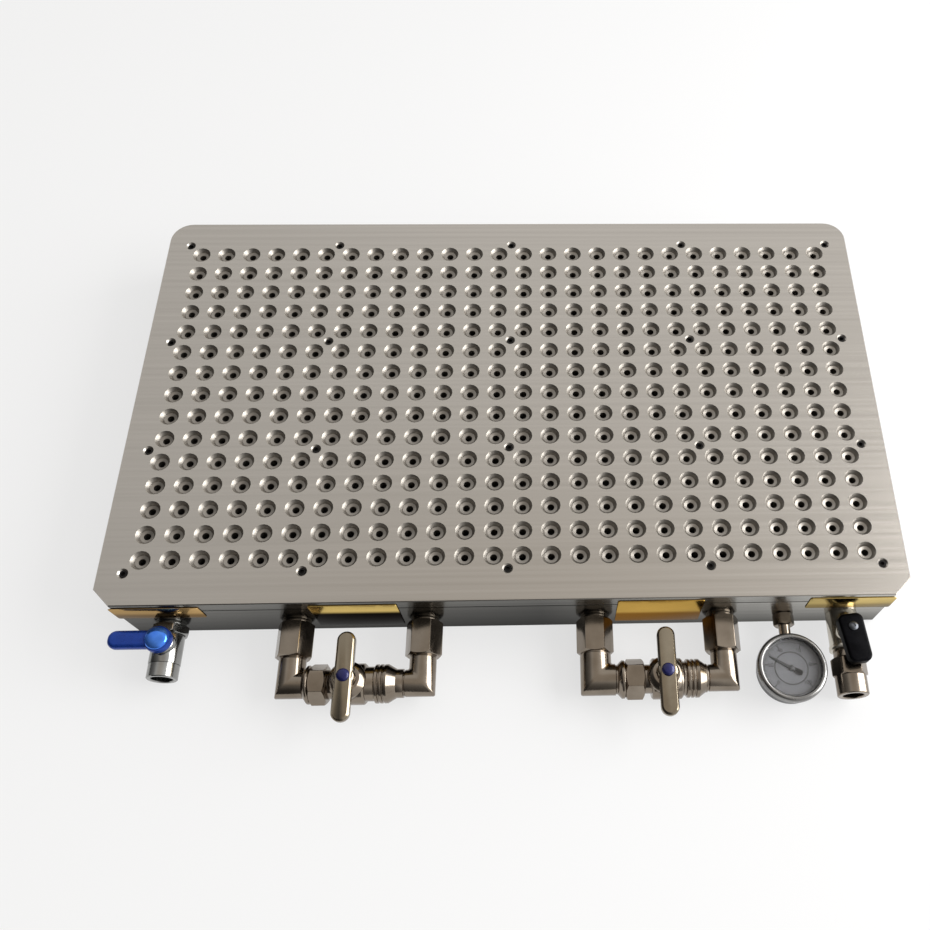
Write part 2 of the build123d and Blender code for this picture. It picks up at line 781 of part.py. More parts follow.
pointer_top = case_top - pointer_drop + pointer_thickness
with BuildPart() as gauge_pointer_shaft:
    post(gauge_centre, shaft_bottom, pointer_top, shaft_radius)
gauge_pointer_shaft.part.label = "gauge_pointer_shaft"
export_step(gauge_pointer_shaft.part, "parts/gauge_pointer_shaft.step")

pointer_plane = gauge_centre.rotated((0, 0, pointer_zero_angle))
with BuildPart() as gauge_pointer:
    with BuildSketch(pointer_plane.offset(pointer_top - pointer_thickness)):
        with BuildLine():
            Polyline(
                (-pointer_tail, -pointer_width),
                (pointer_length, 0),
                (-pointer_tail, pointer_width),
                close=True,
            )
        make_face()
        Circle(pointer_hub_radius)
        Circle(shaft_radius + case_fit, mode=Mode.SUBTRACT)
    extrude(amount=pointer_thickness)
gauge_pointer.part.label = "gauge_pointer"
export_step(gauge_pointer.part, "parts/gauge_pointer.step")
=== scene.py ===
# %% [markdown]
# # A vacuum chuck with its valves
#
# The object is a drilled aluminium plate that holds a workpiece by suction. Along its front
# stand a release valve with a blue lever, two cross-over valves, a gauge and a supply valve
# with a black lever.
# The CAD solids give every place and size, so this script only dresses them: it gives the
# finishes and remakes the pieces where a smooth turned or rounded shape shows.

import math

import bmesh
import bpy
from mathutils import Matrix, Vector


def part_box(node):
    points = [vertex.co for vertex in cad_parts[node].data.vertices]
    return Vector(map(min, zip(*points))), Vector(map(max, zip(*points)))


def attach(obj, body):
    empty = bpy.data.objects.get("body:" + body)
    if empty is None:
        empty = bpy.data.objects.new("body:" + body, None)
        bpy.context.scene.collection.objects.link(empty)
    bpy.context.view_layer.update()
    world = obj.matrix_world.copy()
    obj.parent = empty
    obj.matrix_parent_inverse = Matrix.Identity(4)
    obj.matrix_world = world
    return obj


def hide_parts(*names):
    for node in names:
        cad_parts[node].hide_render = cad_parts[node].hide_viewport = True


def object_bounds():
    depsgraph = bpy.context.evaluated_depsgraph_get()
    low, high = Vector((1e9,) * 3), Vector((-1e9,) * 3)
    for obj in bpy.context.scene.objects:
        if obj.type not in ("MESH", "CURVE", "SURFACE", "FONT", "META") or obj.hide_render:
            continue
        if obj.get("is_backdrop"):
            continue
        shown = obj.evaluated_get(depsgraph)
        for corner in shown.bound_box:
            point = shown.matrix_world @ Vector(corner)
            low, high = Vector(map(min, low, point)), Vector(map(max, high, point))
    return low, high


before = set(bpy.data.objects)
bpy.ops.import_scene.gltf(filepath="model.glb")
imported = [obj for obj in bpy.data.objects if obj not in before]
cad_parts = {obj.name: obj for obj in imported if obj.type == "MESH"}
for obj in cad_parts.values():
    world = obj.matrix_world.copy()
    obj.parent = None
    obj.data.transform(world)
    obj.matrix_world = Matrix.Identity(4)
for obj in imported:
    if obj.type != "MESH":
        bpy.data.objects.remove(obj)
cad_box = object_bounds()
MM = 0.001
bpy.context.scene.view_settings.view_transform = "Standard"

# %% [markdown]
# The camera looks down at the plate from in front. Its place and lens come from matching the
# rows of holes and the fittings, so it is set by numbers and not by eye. The small shifts keep
# the picture's middle where it is without turning the camera.

# %% Camera
CAMERA_PLACE = Vector((28.2, -339.1, 561.8))  # in millimetres
down = Vector((-0.01218, -0.903, -0.42947)).normalized()
ahead = Vector((0.031, 0.42895, -0.9028))
ahead = (ahead - ahead.dot(down) * down).normalized()
right = down.cross(ahead)
eye = bpy.data.cameras.new("eye")
eye.lens = 34.71
eye.sensor_width = 36
eye.shift_x = -0.1243
eye.shift_y = 0.0565
camera = bpy.data.objects.new("camera", eye)
turn = Matrix((right, -down, -ahead)).transposed().to_4x4()
camera.matrix_world = Matrix.Translation(CAMERA_PLACE * MM) @ turn
bpy.context.scene.collection.objects.link(camera)
bpy.context.scene.camera = camera
print("camera stands", round(camera.location.z, 3), "m above the floor")

# %% [markdown]
# Bare metal has hardly a colour of its own: it shows what stands round it. So the room is a
# pale sky that falls off to the left and the front, where every left flank turns dark, with a
# slightly dimmer brownish patch straight above, as under a workshop ceiling. The flat tops of
# the fittings show that patch, while the big plate shows the paler sky behind it.

# %% Room
SKY_STRENGTH = 1.12
SIDE_TONES = ((0.15, 0.08), (0.30, 0.28), (0.40, 0.74), (0.56, 0.78), (0.66, 0.88))
world = bpy.data.worlds.new("room")
bpy.context.scene.world = world
world.use_nodes = True
tree = world.node_tree
where = tree.nodes.new("ShaderNodeTexCoord")
split = tree.nodes.new("ShaderNodeSeparateXYZ")
tree.links.new(where.outputs["Generated"], split.inputs[0])
height_tone = tree.nodes.new("ShaderNodeValToRGB")
tones = height_tone.color_ramp.elements
tones[0].position = 0.85
tones[0].color = (1.0, 0.99, 0.975, 1)
tones[1].position = 0.96
tones[1].color = (0.80, 0.745, 0.68, 1)
tree.links.new(split.outputs["Z"], height_tone.inputs[0])
slant = tree.nodes.new("ShaderNodeVectorMath")
slant.operation = "DOT_PRODUCT"
slant.inputs[1].default_value = (0.8, 0.6, 0.0)
tree.links.new(where.outputs["Generated"], slant.inputs[0])
across = tree.nodes.new("ShaderNodeMapRange")
across.inputs["From Min"].default_value = -1.0
across.inputs["From Max"].default_value = 1.0
tree.links.new(slant.outputs["Value"], across.inputs["Value"])
side_tone = tree.nodes.new("ShaderNodeValToRGB")
sides = side_tone.color_ramp.elements
sides[0].position = 0.0
sides[0].color = (0.04, 0.04, 0.04, 1)
sides[1].position = 1.0
sides[1].color = (1.0, 1.0, 1.0, 1)
for position, tone in SIDE_TONES:
    stop = sides.new(position)
    stop.color = (tone, tone, tone, 1)
tree.links.new(across.outputs[0], side_tone.inputs[0])
brighter = tree.nodes.new("ShaderNodeMath")
brighter.operation = "MULTIPLY"
brighter.inputs[1].default_value = SKY_STRENGTH
tree.links.new(side_tone.outputs[0], brighter.inputs[0])
room = tree.nodes["Background"]
tree.links.new(height_tone.outputs[0], room.inputs["Color"])
tree.links.new(brighter.outputs[0], room.inputs["Strength"])
print("the sky's tones", len(tones), "over the height and", len(sides), "over the sides")

# %% [markdown]
# One large soft lamp adds to the sky. The window stands low on the right, so it draws a white
# band along the right flank of every pipe and on the left wall of every hole.

# %% Lamp
WINDOW_PLACE = Vector((1.2, -0.02, 0.48))
WINDOW_AIM = Vector((0.0, -0.15, 0.02))
light = bpy.data.lights.new("window", "AREA")
light.size = 1.3
light.energy = 38
window = bpy.data.objects.new("window", light)
window.location = WINDOW_PLACE
turn = (WINDOW_AIM - WINDOW_PLACE).to_track_quat("-Z", "Y")
window.rotation_euler = turn.to_euler()
bpy.context.scene.collection.objects.link(window)
print("lamp", window.name, round(light.size, 2), "m wide,", light.energy, "W")

# %% [markdown]
# The floor is a white sheet that keeps the plate's soft shadow. To the camera, and to the
# metal and glass that mirror it, it glows a little, so that it comes out as white as the
# background of a product picture.

# %% Floor
GLOW_SHARE = 0.72
floor_mesh = bpy.data.meshes.new("floor")
bm = bmesh.new()
bmesh.ops.create_grid(bm, x_segments=1, y_segments=1, size=6.0)
bm.to_mesh(floor_mesh)
bm.free()
floor = bpy.data.objects.new("floor", floor_mesh)
bpy.context.scene.collection.objects.link(floor)
floor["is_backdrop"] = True
sheet = bpy.data.materials.new("white_floor")
sheet.use_nodes = True
tree = sheet.node_tree
tree.nodes.clear()
matt = tree.nodes.new("ShaderNodeBsdfDiffuse")
matt.inputs["Color"].default_value = (0.80, 0.80, 0.80, 1)
glow = tree.nodes.new("ShaderNodeEmission")
glow.inputs["Color"].default_value = (0.93, 0.93, 0.93, 1)
ray = tree.nodes.new("ShaderNodeLightPath")
seen = tree.nodes.new("ShaderNodeMath")
seen.operation = "MAXIMUM"
tree.links.new(ray.outputs["Is Camera Ray"], seen.inputs[0])
tree.links.new(ray.outputs["Is Glossy Ray"], seen.inputs[1])
through = tree.nodes.new("ShaderNodeMath")
through.operation = "MAXIMUM"
tree.links.new(seen.outputs[0], through.inputs[0])
tree.links.new(ray.outputs["Is Transmission Ray"], through.inputs[1])
share = tree.nodes.new("ShaderNodeMath")
share.operation = "MULTIPLY"
share.inputs[1].default_value = GLOW_SHARE
tree.links.new(through.outputs[0], share.inputs[0])
mixed = tree.nodes.new("ShaderNodeMixShader")
tree.links.new(share.outputs[0], mixed.inputs[0])
tree.links.new(matt.outputs[0], mixed.inputs[1])
tree.links.new(glow.outputs[0], mixed.inputs[2])
out = tree.nodes.new("ShaderNodeOutputMaterial")
tree.links.new(mixed.outputs[0], out.inputs[0])
floor_mesh.materials.append(sheet)
print("floor", tuple(round(v, 2) for v in floor.dimensions))

# %% [markdown]
# Every finish starts the same way: one shader, and a noise in object coordinates that runs
# through a stretched Mapping node. A long stretch gives tool marks, an even one gives the
# faint unevenness of plating or plastic. The noise drives the colour, the roughness and a
# very small bump.


# %% A helper for finishes
NOISE_LOW, NOISE_HIGH = 0.3, 0.7  # nearly all of the noise lies between these
RELIEF = 0.25


def linear(red, green, blue):
    """A screen colour from 0 to 255 as the linear light that shaders use."""
    parts = []
    for value in (red, green, blue):
        value /= 255
        parts.append(value / 12.92 if value <= 0.04045 else ((value + 0.055) / 1.055) ** 2.4)
    return (*parts, 1)


def finish(name, dark, light, metallic, rough, stretch, bump=0.0, detail=4.0):
    """A finish whose colour and roughness wander between two values with a stretched noise."""
    made = bpy.data.materials.new(name)
    made.use_nodes = True
    tree = made.node_tree
    shader = tree.nodes["Principled BSDF"]
    shader.inputs["Metallic"].default_value = metallic
    where = tree.nodes.new("ShaderNodeTexCoord")
    mapping = tree.nodes.new("ShaderNodeMapping")
    mapping.inputs["Scale"].default_value = stretch
    noise = tree.nodes.new("ShaderNodeTexNoise")
    noise.inputs["Scale"].default_value = 1.0
    noise.inputs["Detail"].default_value = detail
    tree.links.new(where.outputs["Object"], mapping.inputs["Vector"])
    tree.links.new(mapping.outputs[0], noise.inputs["Vector"])
    ramp = tree.nodes.new("ShaderNodeValToRGB")
    ramp.color_ramp.elements[0].position = NOISE_LOW
    ramp.color_ramp.elements[0].color = linear(*dark)
    ramp.color_ramp.elements[1].position = NOISE_HIGH
    ramp.color_ramp.elements[1].color = linear(*light)
    tree.links.new(noise.outputs[0], ramp.inputs[0])
    tree.links.new(ramp.outputs[0], shader.inputs["Base Color"])
    spread = tree.nodes.new("ShaderNodeMapRange")
    spread.inputs["From Min"].default_value = NOISE_LOW
    spread.inputs["From Max"].default_value = NOISE_HIGH
    spread.inputs["To Min"].default_value = rough[0]
    spread.inputs["To Max"].default_value = rough[1]
    tree.links.new(noise.outputs[0], spread.inputs["Value"])
    tree.links.new(spread.outputs[0], shader.inputs["Roughness"])
    if bump:
        relief = tree.nodes.new("ShaderNodeBump")
        relief.inputs["Strength"].default_value = RELIEF
        relief.inputs["Distance"].default_value = bump
        tree.links.new(noise.outputs[0], relief.inputs["Height"])
        tree.links.new(relief.outputs[0], shader.inputs["Normal"])
    return made


# %% [markdown]
# The plate's top is fly-cut aluminium: fine marks run along its length and the sheen is
# satin. Its walls are smoother. The fittings are nickel-plated brass, which is warmer than
# steel. The release valve's plating is greyer than the rest, the supply valve's barrel is
# paler, and the bars are a little browner.

# %% Metals
earlier = len(bpy.data.materials)
top_metal = finish(
    "milled_top", (172, 167, 160), (180, 175, 168), 1.0, (0.22, 0.27), (3, 400, 60), 0.000004
)
# Rougher than the top, as drilled; the darker colour is painted shade in the holes.
shaded_hole_metal = finish(
    "drilled_hole", (140, 135, 128), (152, 147, 140), 1.0, (0.40, 0.48), (60, 60, 60)
)
side_metal = finish(
    "milled_side", (204, 203, 198), (226, 224, 218), 1.0, (0.20, 0.30), (6, 6, 320), 0.00001
)
wall_metal = finish(
    "polished_wall", (214, 212, 206), (236, 234, 228), 1.0, (0.16, 0.26), (6, 6, 320), 0.00001
)
nickel = finish(
    "nickel_plate", (126, 116, 104), (140, 130, 118), 1.0, (0.15, 0.20), (90, 90, 90), 0.000004
)
grey_nickel = finish(
    "grey_nickel", (138, 138, 136), (156, 156, 154), 1.0, (0.15, 0.20), (90, 90, 90), 0.000004
)
pale_nickel = finish(
    "pale_nickel", (190, 184, 172), (210, 204, 192), 1.0, (0.15, 0.22), (90, 90, 90), 0.000004
)
bar_nickel = finish(
    "bar_nickel", (124, 114, 98), (140, 130, 113), 1.0, (0.15, 0.20), (70, 70, 70), 0.000004
)
black_steel = finish("black_steel", (20, 19, 18), (36, 34, 32), 0.6, (0.35, 0.5), (200, 200, 200))
screw_metal = finish("dull_screw", (64, 66, 70), (86, 88, 92), 1.0, (0.3, 0.42), (150, 150, 150))
bezel_metal = finish(
    "gauge_rim", (124, 123, 122), (144, 143, 141), 1.0, (0.22, 0.32), (80, 80, 80)
)
bronze = finish("bronze", (150, 108, 62), (178, 134, 84), 1.0, (0.25, 0.4), (90, 90, 90))
ball_metal = finish(
    "polished_ball", (196, 196, 198), (210, 210, 212), 1.0, (0.05, 0.1), (60, 60, 60)
)
print("metals", len(bpy.data.materials) - earlier)

# %% [markdown]
# The nameplates are polished brass, left bare. They stand upright, so each mirrors the bright
# room in its upper part and the pipework or the floor in its lower part. That reflection is
# painted into the colour: the brass goes from one tone to a darker one, a painted reflection,
# below a height that is each nameplate's own.

# %% Brass with a painted reflection
BLEND = 3  # half of the height, in millimetres, over which one tone turns into the other


def plate_brass(name, upper, lower, height):
    """Brass that goes from one tone to a darker painted reflection below a height."""
    lighter = [min(255, v * 1.08) for v in upper]
    made = finish(name, upper, lighter, 1.0, (0.12, 0.24), (24, 24, 90), 0.00001)
    tree = made.node_tree
    shader = tree.nodes["Principled BSDF"]
    where = tree.nodes.new("ShaderNodeTexCoord")
    split = tree.nodes.new("ShaderNodeSeparateXYZ")
    tree.links.new(where.outputs["Object"], split.inputs[0])
    depth = tree.nodes.new("ShaderNodeMapRange")
    depth.interpolation_type = "SMOOTHSTEP"
    depth.inputs["From Min"].default_value = (height + BLEND) * MM
    depth.inputs["From Max"].default_value = (height - BLEND) * MM
    tree.links.new(split.outputs["Z"], depth.inputs["Value"])
    mix = tree.nodes.new("ShaderNodeMix")
    mix.data_type = "RGBA"
    tree.links.new(depth.outputs[0], mix.inputs["Factor"])
    tree.links.new(shader.inputs["Base Color"].links[0].from_socket, mix.inputs["A"])
    mix.inputs["B"].default_value = linear(*lower)
    tree.links.new(mix.outputs["Result"], shader.inputs["Base Color"])
    shader.inputs["Specular Tint"].default_value = (0.5, 0.5, 0.5, 1)
    return made


brasses = {
    # Below each height the colour is a painted reflection of what stands in front of the plate.
    "nameplate_1": plate_brass("brass_1", (196, 162, 110), (144, 114, 72), 34),
    "nameplate_2": plate_brass("brass_2", (227, 197, 119), (20, 15, 10), 32),
    "nameplate_3": plate_brass("brass_3", (206, 167, 86), (150, 105, 40), 24),
    "nameplate_4": plate_brass("brass_4", (204, 181, 120), (168, 147, 98), 34),
}
print("brasses", sorted(brasses))

# %% [markdown]
# The long wall mirrors a dim place in the middle of the room and the window's side on the
# right, and it darkens towards its foot. That reflection is painted into the colour: a few
# soft stops along X give it, and painted shade darkens the foot.

# %% The wall's painted reflection
HALF_SPAN = 250  # the stops' places, in millimetres, lie between this far left and right
PAINTED_FOOT_SHADE = 0.28


def paint_reflection(made, stops, low, high):
    """Paints a reflection into a finish: darker along X by a row of stops, and painted shade from
    the height high down to low.
    """
    tree = made.node_tree
    shader = tree.nodes["Principled BSDF"]
    where = tree.nodes.new("ShaderNodeTexCoord")
    split = tree.nodes.new("ShaderNodeSeparateXYZ")
    tree.links.new(where.outputs["Object"], split.inputs[0])
    along = tree.nodes.new("ShaderNodeMapRange")
    along.inputs["From Min"].default_value = -HALF_SPAN * MM
    along.inputs["From Max"].default_value = HALF_SPAN * MM
    tree.links.new(split.outputs["X"], along.inputs["Value"])
    ramp = tree.nodes.new("ShaderNodeValToRGB")
    for x, tone in stops:
        stop = ramp.color_ramp.elements.new((x + HALF_SPAN) / (2 * HALF_SPAN))
        stop.color = (tone, tone, tone, 1)
    ramp.color_ramp.elements[0].color = (stops[0][1],) * 3 + (1,)
    ramp.color_ramp.elements[-1].color = (stops[-1][1],) * 3 + (1,)
    tree.links.new(along.outputs[0], ramp.inputs[0])
    up = tree.nodes.new("ShaderNodeMapRange")
    up.inputs["From Min"].default_value = low * MM
    up.inputs["From Max"].default_value = high * MM
    up.inputs["To Min"].default_value = PAINTED_FOOT_SHADE
    tree.links.new(split.outputs["Z"], up.inputs["Value"])
    fade = tree.nodes.new("ShaderNodeVectorMath")
    fade.operation = "SCALE"
    tree.links.new(ramp.outputs[0], fade.inputs[0])
    tree.links.new(up.outputs[0], fade.inputs["Scale"])
    shaded = tree.nodes.new("ShaderNodeVectorMath")
    shaded.operation = "MULTIPLY"
    tree.links.new(shader.inputs["Base Color"].links[0].from_socket, shaded.inputs[0])
    tree.links.new(fade.outputs[0], shaded.inputs[1])
    tree.links.new(shaded.outputs[0], shader.inputs["Base Color"])
    shader.inputs["Specular Tint"].default_value = (0.55, 0.55, 0.55, 1)


# Painted reflection and painted shade on the base's wall and the top plate's outer walls.
paint_reflection(wall_metal, ((-240, 0.35), (20, 0.17), (190, 0.9)), 2, 40)
paint_reflection(side_metal, ((-240, 0.45), (20, 0.28), (190, 1.0)), 20, 46)
print("paint_reflection", wall_metal.name, "and", side_metal.name)

# %% [markdown]
# Paint and plastic show a colour of their own under a soft gloss, but the lever's domed cap
# wears the lever's blue painted lighter, as painted light. The gauge's window is clear, and
# it lets the lamp's light through, so that it throws no shadow on the dial.

# %% Plastics, paint and glass
rubber = finish("grey_gasket", (150, 150, 146), (172, 172, 168), 0.0, (0.6, 0.75), (150, 150, 150))
deep_blue = finish(
    "blue_grip", (20, 54, 136), (28, 66, 158), 0.5, (0.24, 0.34), (160, 160, 160), 0.00001
)
# The lever's blue painted lighter for the dome: painted light where the window falls on it.
lit_blue = finish(
    "blue_dome", (66, 122, 226), (84, 142, 240), 0.8, (0.16, 0.24), (160, 160, 160), 0.00001
)
navy = finish("navy_button", (14, 16, 62), (20, 23, 80), 0.2, (0.2, 0.3), (160, 160, 160), 0.00001)
black_grip = finish("black_grip", (4, 4, 6), (9, 9, 12), 0.0, (0.3, 0.4), (190, 190, 190), 0.00002)
black_grip.node_tree.nodes["Principled BSDF"].inputs["Specular IOR Level"].default_value = 0.04
case_black = finish("black_case", (16, 16, 20), (30, 30, 34), 0.0, (0.2, 0.35), (80, 80, 80))
dial_paint = finish("dial_paint", (76, 76, 79), (84, 84, 87), 0.0, (0.5, 0.6), (120, 120, 120))
ink = finish("dial_ink", (10, 12, 14), (18, 20, 22), 0.0, (0.4, 0.5), (200, 200, 200))
ring_ink = finish("ring_ink", (22, 24, 24), (32, 34, 34), 0.0, (0.5, 0.6), (200, 200, 200))
plastic_white = finish(
    "seat_plastic", (226, 226, 222), (238, 238, 234), 0.0, (0.4, 0.5), (90, 90, 90)
)
glass = bpy.data.materials.new("gauge_glass")
glass.use_nodes = True
tree = glass.node_tree
shader = tree.nodes["Principled BSDF"]
shader.inputs["Base Color"].default_value = (0.98, 0.99, 1.0, 1)
shader.inputs["Roughness"].default_value = 0.02
shader.inputs["IOR"].default_value = 1.45
shader.inputs["Transmission Weight"].default_value = 1.0
shader.inputs["Specular IOR Level"].default_value = 0.08
ray = tree.nodes.new("ShaderNodeLightPath")
clear = tree.nodes.new("ShaderNodeBsdfTransparent")
mixed = tree.nodes.new("ShaderNodeMixShader")
tree.links.new(ray.outputs["Is Shadow Ray"], mixed.inputs[0])
tree.links.new(shader.outputs[0], mixed.inputs[1])
tree.links.new(clear.outputs[0], mixed.inputs[2])
tree.links.new(mixed.outputs[0], tree.nodes["Material Output"].inputs[0])
print("finishes in all", len(bpy.data.materials) - earlier)

# %% [markdown]
# The solids whose shape is right as it stands only get their finish.

# %% Finish the solids
WEAR = {
    "base_plate": wall_metal,
    "top_plate": top_metal,
    "chamber_gasket": rubber,
    "cover_screws": black_steel,
    "gauge_window": glass,
    "gauge_dial": dial_paint,
    "gauge_bourdon_tube": bronze,
    "gauge_movement": bronze,
    "gauge_pointer_shaft": screw_metal,
    "gauge_pointer": ink,
    "gauge_case": case_black,
    "gauge_bezel": bezel_metal,
    "release_valve_lever": deep_blue,
    "release_valve_lever_cap": lit_blue,
    "supply_valve_lever": black_grip,
    "supply_valve_lever_screw": screw_metal,
}
for name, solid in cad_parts.items():
    if name in WEAR:
        wear = WEAR[name]
    elif "nameplate" in name:
        wear = brasses[name]
    elif name.endswith("_ball_seats"):
        wear = plastic_white
    elif name.endswith("_ball"):
        wear = ball_metal
    elif name.endswith("bar_handle"):
        wear = bar_nickel
    elif name.endswith("handle_button"):
        wear = navy
    else:
        wear = nickel
    solid.data.materials.clear()
    solid.data.materials.append(wear)
print("dressed", len(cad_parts), "solids")

# %% [markdown]
# Piece by piece, the remade parts are built in millimetres in a bmesh and scaled at the end.
# This helper lets round surfaces shade smoothly while edges over a chosen angle stay crisp,
# ties the piece to its body, and hides the solid that it stands for.


# %% A helper that finishes a piece
def make_piece(name, bm, wear, body, *nodes, crisp=35):
    """Turns a bmesh in millimetres into a piece that rides on a body and replaces solids."""
    bmesh.ops.scale(bm, vec=(MM, MM, MM), verts=bm.verts)
    open_edges = sum(1 for e in bm.edges if not e.is_manifold)
    mesh = bpy.data.meshes.new(name)
    bm.to_mesh(mesh)
    bm.free()
    mesh.polygons.foreach_set("use_smooth", [True] * len(mesh.polygons))
    mesh.set_sharp_from_angle(angle=math.radians(crisp))
    mesh.materials.append(wear)
    piece = bpy.data.objects.new(name, mesh)
    bpy.context.scene.collection.objects.link(piece)
    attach(piece, body)
    if nodes:
        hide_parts(*nodes)
    triangles = sum(len(p.vertices) - 2 for p in mesh.polygons)
    print(name, triangles, "triangles", open_edges, "open edges")
    return piece


# %% [markdown]
# Most of this object was made on a lathe, so most pieces start as a turned shape: a few
# points give half of the outline, and a full spin about the axis makes the rest. A small
# bevel on every sharp edge then catches the light as a real machined edge does.


# %% Helpers for turned shapes
def turned(profile, upright=False, steps=48, edge=0.3):
    """A shape turned from (distance, radius) points, about X or about the upright axis."""
    bm = bmesh.new()
    corners = [
        bm.verts.new((radius, 0, along) if upright else (along, 0, radius))
        for along, radius in profile
    ]
    edges = [bm.edges.new(pair) for pair in zip(corners, corners[1:])]
    axis = (0, 0, 1) if upright else (1, 0, 0)
    bmesh.ops.spin(
        bm,
        geom=corners + edges,
        axis=axis,
        cent=(0, 0, 0),
        angle=math.tau,
        steps=steps,
        use_merge=True,
    )
    bmesh.ops.remove_doubles(bm, verts=bm.verts, dist=0.001)
    bmesh.ops.recalc_face_normals(bm, faces=bm.faces)
    if edge:
        soften(bm, edge)
    return bm


def soften(bm, offset, segments=2, angle=40):
    """Rounds every edge that is sharper than an angle."""
    limit = math.radians(angle)
    sharp = [e for e in bm.edges if e.is_manifold and e.calc_face_angle(0) > limit]
    bmesh.ops.bevel(
        bm,
        geom=sharp,
        offset=offset,
        segments=segments,
        profile=0.5,
        affect="EDGES",
        clamp_overlap=True,
        material=-1,
    )


def stand(bm, place, turn=0.0):
    """Turns a shape about the upright axis and moves it to its place."""
    spin = Matrix.Rotation(math.radians(turn), 3, "Z")
    bmesh.ops.rotate(bm, cent=(0, 0, 0), matrix=spin, verts=bm.verts)
    bmesh.ops.translate(bm, vec=place, verts=bm.verts)
    return bm


def joined(*shapes):
    """Several closed shapes as one."""
    whole = bmesh.new()
    for shape in shapes:
        carrier = bpy.data.meshes.new("carrier")
        shape.to_mesh(carrier)
        shape.free()
        whole.from_mesh(carrier)
        bpy.data.meshes.remove(carrier)
    return whole


# %% [markdown]
# A spanner flat is a hexagonal bar whose corners the lathe has turned down at both ends, and
# that leaves curved scallops on the flats. The shape is what a hexagonal bar and a turned
# double cone have in common, so a Boolean of the two gives it.


# %% Hexagons
CORNER_SLOPE = 0.62  # how far the turned cone runs along the bar per millimetre of radius


def common(first, second):
    """The space that two closed shapes share."""
    holders = []
    for shape in (first, second):
        mesh = bpy.data.meshes.new("blank")
        shape.to_mesh(mesh)
        shape.free()
        holder = bpy.data.objects.new("blank", mesh)
        bpy.context.scene.collection.objects.link(holder)
        holders.append(holder)
    cut = holders[0].modifiers.new("common", "BOOLEAN")
    cut.operation = "INTERSECT"
    cut.object = holders[1]
    cut.solver = "EXACT"
    result = bmesh.new()
    result.from_object(holders[0], bpy.context.evaluated_depsgraph_get())
    for holder in holders:
        bpy.data.meshes.remove(holder.data)
    return result


def hexagon(start, end, flats, roll=0.0):
    """A hexagonal length along X with turned-down corners. Without a roll a flat faces up."""
    corner = flats / math.sqrt(3)
    bar = bmesh.new()
    bmesh.ops.create_cone(
        bar, cap_ends=True, segments=6, radius1=corner, radius2=corner, depth=end - start
    )
    to_x = Matrix.Rotation(math.radians(roll), 3, "X") @ Matrix.Rotation(math.pi / 2, 3, "Y")
    bmesh.ops.rotate(bar, cent=(0, 0, 0), matrix=to_x, verts=bar.verts)
    flat_up = max(bar.faces, key=lambda f: f.normal.z).normal
    if flat_up.z < 0.9:
        half = Matrix.Rotation(math.radians(30), 3, "X")
        bmesh.ops.rotate(bar, cent=(0, 0, 0), matrix=half, verts=bar.verts)
    bmesh.ops.translate(bar, vec=((start + end) / 2, 0, 0), verts=bar.verts)
    soften(bar, 0.35, segments=2, angle=50)
    rim = corner + 0.1
    drop = corner - flats / 2 + 0.5
    run = drop * CORNER_SLOPE
    lathe = turned(
        (
            (start, 0),
            (start, rim - drop),
            (start + run, rim),
            (end - run, rim),
            (end, rim - drop),
            (end, 0),
        ),
        edge=0,
    )
    return common(bar, lathe)


# %% [markdown]
# The suction face carries the object's look: 390 holes, each a shallow cone that runs into a
# drill's point and a small bore. A hole is a turned shape, so one wall is spun from its
# profile, with few faces, and copied to every place.

# %% One hole's wall
low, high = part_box("top_plate")
top_z = high.z / MM
under_z = low.z / MM
half_length = high.x / MM
half_width = high.y / MM
COLUMNS, ROWS = 26, 15
COLUMN_PITCH, ROW_PITCH = 18.0, 17.2
HOLE_SIDES = 16


def copied(profile, places):
    """The same turned wall at each place, as one open shape."""
    wall = turned([(z, radius) for radius, z in profile], upright=True, steps=HOLE_SIDES, edge=0)
    carrier = bpy.data.meshes.new("wall")
    wall.to_mesh(carrier)
    wall.free()
    bm = bmesh.new()
    for x, y in places:
        before = len(bm.verts)
        bm.from_mesh(carrier)
        bm.verts.ensure_lookup_table()
        bmesh.ops.translate(bm, vec=(x, y, 0), verts=bm.verts[before:])
    print("one wall has", len(carrier.polygons), "faces,", len(places), "places")
    bpy.data.meshes.remove(carrier)
    return bm


hole_places = [
    ((c - (COLUMNS - 1) / 2) * COLUMN_PITCH, (r - (ROWS - 1) / 2) * ROW_PITCH)
    for c in range(COLUMNS)
    for r in range(ROWS)
]
screw_places = [
    (x * COLUMN_PITCH, y * ROW_PITCH) for x in (-13, -7, 0, 7, 13) for y in (-7.5, -2.5, 2.5, 7.5)
]
holes = copied(
    (
        (6.3, top_z),
        (4.7, top_z - 1.8),
        (4.3, top_z - 2.7),
        (2.3, top_z - 3.3),
        (2.3, under_z),
    ),
    hole_places,
)
screw_holes = copied(
    ((3.4, top_z), (2.5, top_z - 0.9), (2.5, top_z - 5.0), (2.2, top_z - 5.0), (2.2, under_z)),
    screw_places,
)

# %% [markdown]
# The slab round the holes starts as one flat face with its corners bevelled: single cuts in
# front and round ones behind. Extruding it gives the walls, and a small inset that also rises
# gives the broken top edge. Then its two flat faces are taken out and filled again together
# with all the circles, so each hole shares its rim with the face and nothing overlaps. The
# outer walls get a finish of their own that carries a painted reflection, and the holes a
# rougher one whose darker colour is painted shade.

